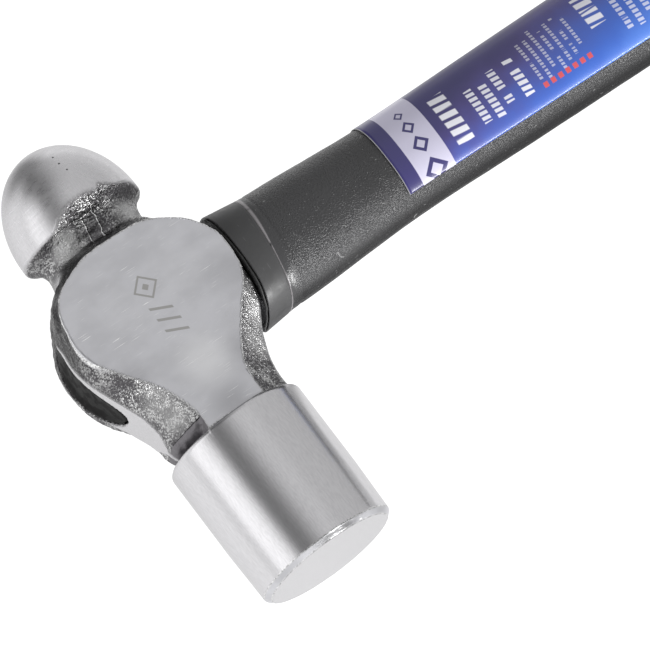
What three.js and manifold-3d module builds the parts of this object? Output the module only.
// Ball peen hammer with a fibreglass cored handle, lying on its side. Millimetres, +Z up.
//
// Every piece is drawn about the centre of the eye, the oval hole that the handle passes
// through: +X runs down the handle to the butt, +Y towards the ball peen, -Y towards the
// striking face and +Z out of the upper cheek. The group then moves the whole hammer so
// that the middle of its base is at the origin.
import * as THREE from 'three';
import { mergeVertices } from 'three/addons/utils/BufferGeometryUtils.js';
import Module from 'manifold-3d';

const wasm = await Module();
wasm.setup();

// ---- driving dimensions ---------------------------------------------------------------

const GAP = 0.15; // clearance between pieces that touch on the real hammer

// Head: a one pound (450 g) forging.
const FACE_Y = -57.15;
const BALL_TOP_Y = 41.35;
const CHEEK_Z = 12.85; // half the thickness across the two ground cheeks
const HEAD_TOP_X = -18.9;
const HEAD_BOTTOM_X = 18.5;

// Poll: the round striking end.
const POLL_RADIUS = 14.95;
const POLL_FRONT_RADIUS = 14.65;
const POLL_TAPER = 12; // length over which the poll widens behind the face
const POLL_BACK_Y = -26.05;
const POLL_ROOT_RADIUS = 10.9; // a spigot of this radius runs into the cheek body
const FACE_CHAMFER = 1.1;
const BACK_CHAMFER = 0.7;

// Ball: a dome taller than its rim is wide, on a neck that flares up to it: [radius, y]
const RIM_RADIUS = 13.7;
const RIM_Y = 23.8;
const NECK_FOOT = [10.9, 18.3];
const NECK_BEND = [10.9, 21.3];
const NECK_TOP = [13.5, 22.4];

// Cheek body, as sections along Y: [y, ground flat's edge towards the eye's top, its edge
// towards the handle, side at the eye's top, side at the handle, height of the sides, foot
// of the side at the eye's top, its depth], where the foot is that side's lower edge
const BODY_SECTIONS = [
  [-26.9, 7, 5.6, 12.7, 13.2, 4.4, 12.7, 4.4],
  [-23.2, 6.8, 5.6, 12.8, 12.9, 4.6, 12.8, 4.6],
  [-19, 7.8, 6.6, 13.4, 13.4, 5.2, 13.4, 5.2],
  [-14.2, 9.9, 9.3, 14.9, 15, 6.6, 14.9, 6.8],
  [-9.4, 13.4, 13, 17, 17.6, 8.4, 17.2, 9.2],
  [-4.9, 16.4, 16.6, 18.4, 18.6, 9.1, 18.6, 10.2],
  [0, 18, 18, 18.9, 18.9, 9.2, 18.9, 10.3],
  [5, 17.6, 17.8, 18, 18.6, 9.2, 18.2, 9.8],
  [10, 15.7, 15, 17.4, 16.4, 9, 15.9, 9.2],
  [13, 12.3, 11.4, 14.7, 13, 8.8, 14.4, 8.8],
  [15.6, 6.3, 6.4, 11.3, 10.7, 8.4, 11.3, 8.4],
  [17.4, 4.4, 4.2, 10.5, 10.1, 7.8, 10.5, 7.8],
];
const NECK_FALL = 3.2; // the drop from the flats' edge to the last section, at the neck
const LEAST_BAND = 0.45; // least width of the sloped band on the handle side

// Eye: an oval hole along X, drawn in at its waist, and punched a little off the middle and
// askew at its top: [half width in Y, half height, middle in Y, middle in Z, rise along Y]
const EYE_TOP = [10.75, 5.8, -3.1, -3, -0.15];
const EYE_WAIST = [9.8, 6.4, -1.6, 0, 0];
const EYE_BOTTOM = [10.9, 7.8, -0.7, 0, 0];
const EYE_SQUARENESS = 2.15;

// Handle core: a flattened fibreglass rod.
const CORE_SIZE = [7.3, 4.6, -0.8];
const CORE_START_X = -9.5;
const CORE_END_X = 298;
const CORE_BEVEL = 0.6;

// Resin that locks the core in the eye.
const RESIN_RECESS = 0.7; // below the eye's rim
const RESIN_BOTTOM_X = 11.0;

// Moulded jacket: a plug in the eye, a collar under the head, and a sleeve over the core.
const COLLAR_START_X = 19.25;
const COLLAR_END_X = 25.2;
const COLLAR_START_SIZE = [12.25, 11.85, -0.6];
const COLLAR_END_SIZE = [11.6, 11.1, -0.6];
const COLLAR_END_SLANT = 0.1; // how far the collar's lower edge leans along X for each mm of Y
const COLLAR_EDGE = 0.25;
const HUG_FROM_Y = -5; // past here the collar's start bends towards the head's falling side
const HUG = 0.021; // the bend, for each square mm past there
const SLEEVE_START_X = 27.4; // clear of the slanted edge
const SEAL_SIZE = [12, 11.5, -0.65];
const JACKET_END_X = 306;

// Rubber grip over the jacket: [x, half width in Y, half thickness in Z, middle in Y]
const BUTT_X = 316.1;
const BUTT_ROUND = 7;
const BUTT_ROUND_START = 0.15; // first ring of the rounding, as a share of its quarter turn
const GRIP_WALL = 2.2;
const GRIP_SECTIONS = [
  [23, 11.6, 11, -0.6],
  [35, 11.25, 10.4, -0.48],
  [43, 10.85, 9.8, -0.4],
  [52, 10.4, 9.3, -0.35],
  [63, 10.3, 9.1, -0.25],
  [82, 10.55, 9.1, -0.2],
  [130, 11.1, 9.4, 0],
  [158, 12.5, 10.5, 0],
  [190, 14.1, 11.7, 0],
  [225, 14.5, 12, 0],
  [262, 13.8, 11.6, 0],
  [290, 14.5, 12.2, 0],
  [316.1, 16.1, 13.4, 0],
];

// Sticker round the handle, from above the face side over and round the ball side.
const LABEL_START_X = 54.3;
const LABEL_END_X = 148;
const LABEL_THICKNESS = 0.15;
const LABEL_LIFT = 0.04;
const LABEL_FROM = THREE.MathUtils.degToRad(-48);
const LABEL_TO = THREE.MathUtils.degToRad(135.5);

const SQUARENESS = 2.4; // 2 is a plain ellipse; the handle's ovals are a little squarer

// How finely the curved surfaces are divided.
const ROUND_SIDES = 64;
const OVAL_SIDES = 36;
const CHEEK_STEPS = 28;
const NECK_STEPS = 6;
const DOME_STEPS = 12;
const EYE_STEPS = 12;
const PLUG_STEPS = 3;
const SLEEVE_STEPS = 16;
const GRIP_STEPS = 38;
const BUTT_STEPS = 5;
const LABEL_STEPS = 12;
const LABEL_SIDES = 22;

const OVERLAP = 3; // how far a joined or cutting shape reaches past the surface it meets

// ---- geometry helpers -----------------------------------------------------------------

// One closed body through rings of points. Each ring has the same number of points, and
// runs anticlockwise seen from the last ring. Its ends are closed round their middles.
function loft(rings) {
  const sides = rings[0].length;
  const points = rings.flat();
  const middle = (ring) => ring.reduce((sum, p) => sum.add(p), new THREE.Vector3())
    .divideScalar(sides);
  const first = points.push(middle(rings[0])) - 1;
  const last = points.push(middle(rings.at(-1))) - 1;
  const top = (rings.length - 1) * sides;
  const index = [];
  for (let i = 0; i < sides; i++) {
    const j = (i + 1) % sides;
    for (let k = 0; k < top; k += sides) {
      index.push(k + i, k + j, k + sides + j, k + i, k + sides + j, k + sides + i);
    }
    index.push(first, j, i, last, top + i, top + j);
  }
  const geometry = new THREE.BufferGeometry().setFromPoints(points);
  geometry.setIndex(index);
  return geometry;
}

function toSolid(geometry) {
  const bare = geometry.clone();
  bare.deleteAttribute('normal');
  bare.deleteAttribute('uv');
  const merged = mergeVertices(bare, 1e-4);
  return new wasm.Manifold(new wasm.Mesh({
    numProp: 3,
    vertProperties: new Float32Array(merged.attributes.position.array),
    triVerts: new Uint32Array(merged.index.array),
  }));
}

function toGeometry(solid) {
  const mesh = solid.getMesh();
  const geometry = new THREE.BufferGeometry();
  geometry.setAttribute('position', new THREE.BufferAttribute(mesh.vertProperties, 3));
  geometry.setIndex(new THREE.BufferAttribute(mesh.triVerts, 1));
  return geometry;
}

// A point on an oval across X. Its size is [half width in Y, half height, middle in Y], and
// its middle in Z and its rise along Y where they aren't 0.
function ovalPoint(x, [halfY, halfZ, middle, lift = 0, lean = 0], angle, grow, power) {
  const bulge = (value) => Math.sign(value) * Math.abs(value) ** (2 / power);
  const aside = (halfY + grow) * bulge(Math.cos(angle));
  const up = lift + lean * aside + (halfZ + grow) * bulge(Math.sin(angle));
  return new THREE.Vector3(x, middle + aside, up);
}

// An oval ring across X. grow widens it all round, slant leans it along X, and hug bends its
// face side towards the head.
function oval(x, size, { grow = 0, power = SQUARENESS, slant = 0, hug = 0 } = {}) {
  return Array.from({ length: OVAL_SIDES }, (_, i) => {
    const point = ovalPoint(x, size, (i / OVAL_SIDES) * 2 * Math.PI, grow, power);
    point.x += slant * point.y - hug * Math.max(HUG_FROM_Y - point.y, 0) ** 2;
    return point;
  });
}

// Smooth curve through a table's rows: cubic pieces that share their slopes.
function sample(table, at) {
  const last = table.length - 2;
  let k = 0;
  while (k < last && at > table[k + 1][0]) k++;
  const row = (i) => table[Math.min(Math.max(i, 0), table.length - 1)];
  const [a, b, c, d] = [row(k - 1), row(k), row(k + 1), row(k + 2)];
  const span = c[0] - b[0];
  const t = (at - b[0]) / span;
  return b.slice(1).map((start, i) => {
    const end = c[i + 1];
    const slopeIn = ((end - a[i + 1]) / (c[0] - a[0])) * span;
    const slopeOut = ((d[i + 1] - start) / (d[0] - b[0])) * span;
    const t2 = t * t;
    const t3 = t2 * t;
    return start * (2 * t3 - 3 * t2 + 1) + slopeIn * (t3 - 2 * t2 + t)
      + end * (3 * t2 - 2 * t3) + slopeOut * (t3 - t2);
  });
}

function steps(from, to, count) {
  return Array.from({ length: count + 1 }, (_, i) => from + ((to - from) * i) / count);
}

function piece(name, geometry, color, roughness, metalness) {
  const material = new THREE.MeshStandardMaterial({ color, roughness, metalness });
  const mesh = new THREE.Mesh(geometry, material);
  mesh.name = name;
  return mesh;
}

// ---- head -----------------------------------------------------------------------------

function poll() {
  const profile = [
    [0, FACE_Y],
    [POLL_FRONT_RADIUS - FACE_CHAMFER, FACE_Y],
    [POLL_FRONT_RADIUS, FACE_Y + FACE_CHAMFER],
    [POLL_RADIUS, FACE_Y + POLL_TAPER],
    [POLL_RADIUS, POLL_BACK_Y - BACK_CHAMFER],
    [POLL_RADIUS - BACK_CHAMFER, POLL_BACK_Y],
    [POLL_ROOT_RADIUS, POLL_BACK_Y],
    [POLL_ROOT_RADIUS, POLL_BACK_Y + OVERLAP],
    [0, POLL_BACK_Y + OVERLAP],
  ];
  return new THREE.LatheGeometry(profile.map(([r, y]) => new THREE.Vector2(r, y)), ROUND_SIDES);
}

function ball() {
  const [rootRadius, footY] = NECK_FOOT;
  const rootY = footY - 3 * OVERLAP;
  const flare = [NECK_FOOT, NECK_BEND, NECK_TOP].map(([r, y]) => new THREE.Vector2(r, y));
  const neck = new THREE.QuadraticBezierCurve(...flare).getPoints(NECK_STEPS);
  const dome = steps(0, Math.PI / 2, DOME_STEPS).map((angle) => new THREE.Vector2(
    RIM_RADIUS * Math.cos(angle), RIM_Y + (BALL_TOP_Y - RIM_Y) * Math.sin(angle)));
  dome.at(-1).x = 0;
  const root = [new THREE.Vector2(0, rootY), new THREE.Vector2(rootRadius, rootY)];
  return new THREE.LatheGeometry([...root, ...neck, ...dome], ROUND_SIDES);
}

// The cheeks: each section is a flat top and bottom, a sloped band at each corner, and
// upright sides. inset moves the side at the eye's top inwards.
function cheekBody(inset = 0) {
  const flatEnd = BODY_SECTIONS.at(-2)[0];
  const neckEnd = BODY_SECTIONS.at(-1)[0];
  const stations = [...steps(BODY_SECTIONS[0][0], flatEnd, CHEEK_STEPS), neckEnd];
  return loft(stations.map((y) => {
    const [flatTop, flatHandle, topSide, handleSide, height, foot, depth] = (
      sample(BODY_SECTIONS, y));
    const right = Math.min(handleSide, HEAD_BOTTOM_X);
    const flatRight = Math.min(flatHandle, right - LEAST_BAND);
    const top = y === neckEnd ? CHEEK_Z - NECK_FALL : CHEEK_Z;
    return [
      [flatRight, top], [right, height], [right, -height], [flatRight, -top],
      [-flatTop, -top], [inset - foot, -depth], [inset - topSide, height], [-flatTop, top],
    ].map(([x, z]) => new THREE.Vector3(x, y, z));
  }));
}

// The oval hole's size at x, drawn in smoothly from each mouth to its waist.
function eyeSize(x) {
  const mouth = x < 0 ? EYE_TOP : EYE_BOTTOM;
  const reach = Math.min(x < 0 ? x / HEAD_TOP_X : x / HEAD_BOTTOM_X, 1);
  return EYE_WAIST.map((size, i) => size + (mouth[i] - size) * reach * reach);
}

function eyeOval(x, grow) {
  return oval(x, eyeSize(x), { grow, power: EYE_SQUARENESS });
}

function eyeFill(fromX, toX, grow) {
  return loft(steps(fromX, toX, EYE_STEPS).map((x) => eyeOval(x, grow)));
}

function hammerHead() {
  const eye = eyeFill(HEAD_TOP_X - OVERLAP, HEAD_BOTTOM_X + OVERLAP, 0);
  const solid = toSolid(cheekBody()).add(toSolid(poll())).add(toSolid(ball()))
    .subtract(toSolid(eye));
  return toGeometry(solid);
}

// ---- inside the eye -------------------------------------------------------------------

function coreHole(fromX, toX) {
  return loft([fromX, toX].map((x) => oval(x, CORE_SIZE, { grow: GAP })));
}

// The resin fills the eye round the core, and ends just inside the curved rim.
function eyeResin() {
  const outside = eyeFill(HEAD_TOP_X - OVERLAP, RESIN_BOTTOM_X, -GAP);
  const socket = coreHole(CORE_START_X - GAP, RESIN_BOTTOM_X + OVERLAP);
  return toGeometry(toSolid(outside).intersect(toSolid(cheekBody(RESIN_RECESS)))
    .subtract(toSolid(socket)));
}

function sealRing() {
  const from = HEAD_BOTTOM_X + GAP;
  const to = COLLAR_START_X - GAP;
  const outside = loft([from, to].map((x) => oval(x, SEAL_SIZE, { hug: HUG })));
  const inside = eyeFill(from - OVERLAP, to + OVERLAP, 0);
  return toGeometry(toSolid(outside).subtract(toSolid(inside)));
}

// ---- handle ---------------------------------------------------------------------------

function fibreglassCore() {
  return loft([
    oval(CORE_START_X, CORE_SIZE, { grow: -CORE_BEVEL }),
    oval(CORE_START_X + CORE_BEVEL, CORE_SIZE),
    oval(CORE_END_X - CORE_BEVEL, CORE_SIZE),
    oval(CORE_END_X, CORE_SIZE, { grow: -CORE_BEVEL }),
  ]);
}

function gripSize(x) {
  return sample(GRIP_SECTIONS, x);
}

// The sleeve runs under the grip, so both are drawn at the same places along X.
const SLEEVE_X = steps(SLEEVE_START_X, JACKET_END_X, SLEEVE_STEPS);

function handleJacket() {
  const slant = COLLAR_END_SLANT;
  const plugStart = RESIN_BOTTOM_X + 2 * GAP;
  const plug = steps(plugStart, COLLAR_START_X, PLUG_STEPS).map((x) => eyeOval(x, -GAP));
  const collar = [
    oval(COLLAR_START_X, COLLAR_START_SIZE, { grow: -COLLAR_EDGE, hug: HUG }),
    oval(COLLAR_START_X + COLLAR_EDGE, COLLAR_START_SIZE, { hug: HUG }),
    oval(COLLAR_END_X - COLLAR_EDGE, COLLAR_END_SIZE, { slant }),
    oval(COLLAR_END_X, COLLAR_END_SIZE, { grow: -COLLAR_EDGE, slant }),
    oval(COLLAR_END_X, COLLAR_END_SIZE, { grow: -GRIP_WALL - GAP, slant }),
  ];
  const sleeve = SLEEVE_X.map((x) => oval(x, gripSize(x), { grow: -GRIP_WALL - GAP }));
  const outside = loft([...plug, ...collar, ...sleeve]);
  const bore = coreHole(plugStart - OVERLAP, CORE_END_X + GAP);
  return toGeometry(toSolid(outside).subtract(toSolid(bore)));
}

function rubberGrip() {
  const collarSide = COLLAR_END_X + GAP;
  const body = [oval(collarSide, gripSize(collarSide), { slant: COLLAR_END_SLANT })];
  steps(SLEEVE_START_X, BUTT_X - BUTT_ROUND, GRIP_STEPS).forEach((x) => {
    body.push(oval(x, gripSize(x)));
  });
  const butt = steps(BUTT_ROUND_START, 1, BUTT_STEPS).map((t) => {
    const x = BUTT_X - BUTT_ROUND * (1 - Math.sin((t * Math.PI) / 2));
    return oval(x, gripSize(x), { grow: -BUTT_ROUND * (1 - Math.cos((t * Math.PI) / 2)) });
  });
  const bore = SLEEVE_X.map((x) => oval(x, gripSize(x), { grow: -GRIP_WALL }));
  bore.unshift(oval(COLLAR_END_X - OVERLAP, COLLAR_END_SIZE, { grow: -GRIP_WALL + GAP }));
  bore.push(oval(JACKET_END_X + GAP, gripSize(JACKET_END_X), { grow: -GRIP_WALL }));
  return toGeometry(toSolid(loft([...body, ...butt])).subtract(toSolid(loft(bore))));
}

// As loft, for a ring that is two facing rows of points: each end is closed row to row.
function strip(rings) {
  const sides = rings[0].length;
  const top = (rings.length - 1) * sides;
  const index = [];
  for (let i = 0; i < sides; i++) {
    const j = (i + 1) % sides;
    for (let k = 0; k < top; k += sides) {
      index.push(k + i, k + j, k + sides + j, k + i, k + sides + j, k + sides + i);
    }
  }
  for (let i = 0; i + 1 < sides / 2; i++) {
    const facing = sides - 1 - i;
    index.push(i, facing, facing - 1, i, facing - 1, i + 1);
    index.push(top + i, top + facing - 1, top + facing, top + i, top + i + 1, top + facing - 1);
  }
  const geometry = new THREE.BufferGeometry().setFromPoints(rings.flat());
  geometry.setIndex(index);
  return geometry;
}

// The sticker: each ring runs along its outside and back along its inside. It is drawn on
// the grip's own rings, so that it follows the grip's flat-sided facets.
function stickerLabel() {
  const angles = steps(LABEL_FROM, LABEL_TO, LABEL_SIDES);
  return strip(steps(LABEL_START_X, LABEL_END_X, LABEL_STEPS).map((x) => {
    const arc = (grow) => angles.map((angle) => (
      ovalPoint(x, gripSize(x), angle, grow, SQUARENESS)));
    return [...arc(LABEL_LIFT + LABEL_THICKNESS), ...arc(LABEL_LIFT).reverse()];
  }));
}

// ---- assembly -------------------------------------------------------------------------

const hammer = new THREE.Group();
hammer.add(
  piece('hammer_head', hammerHead(), 0xb4b4b6, 0.32, 1.0),
  piece('eye_resin', eyeResin(), 0x1a1a1b, 0.45, 0.0),
  piece('seal_ring', sealRing(), 0x121213, 0.7, 0.0),
  piece('fibreglass_core', fibreglassCore(), 0xc9b458, 0.5, 0.0),
  piece('handle_jacket', handleJacket(), 0x3f4042, 0.45, 0.0),
  piece('rubber_grip', rubberGrip(), 0x38393b, 0.65, 0.0),
  piece('label', stickerLabel(), 0x2a4fa0, 0.35, 0.0),
);

// The hammer lies on the side of its poll, with the middle of its base at the origin.
hammer.position.set(
  -(HEAD_TOP_X + BUTT_X) / 2,
  -(FACE_Y + BALL_TOP_Y) / 2,
  POLL_RADIUS,
);
hammer.updateMatrixWorld(true);

export default hammer;
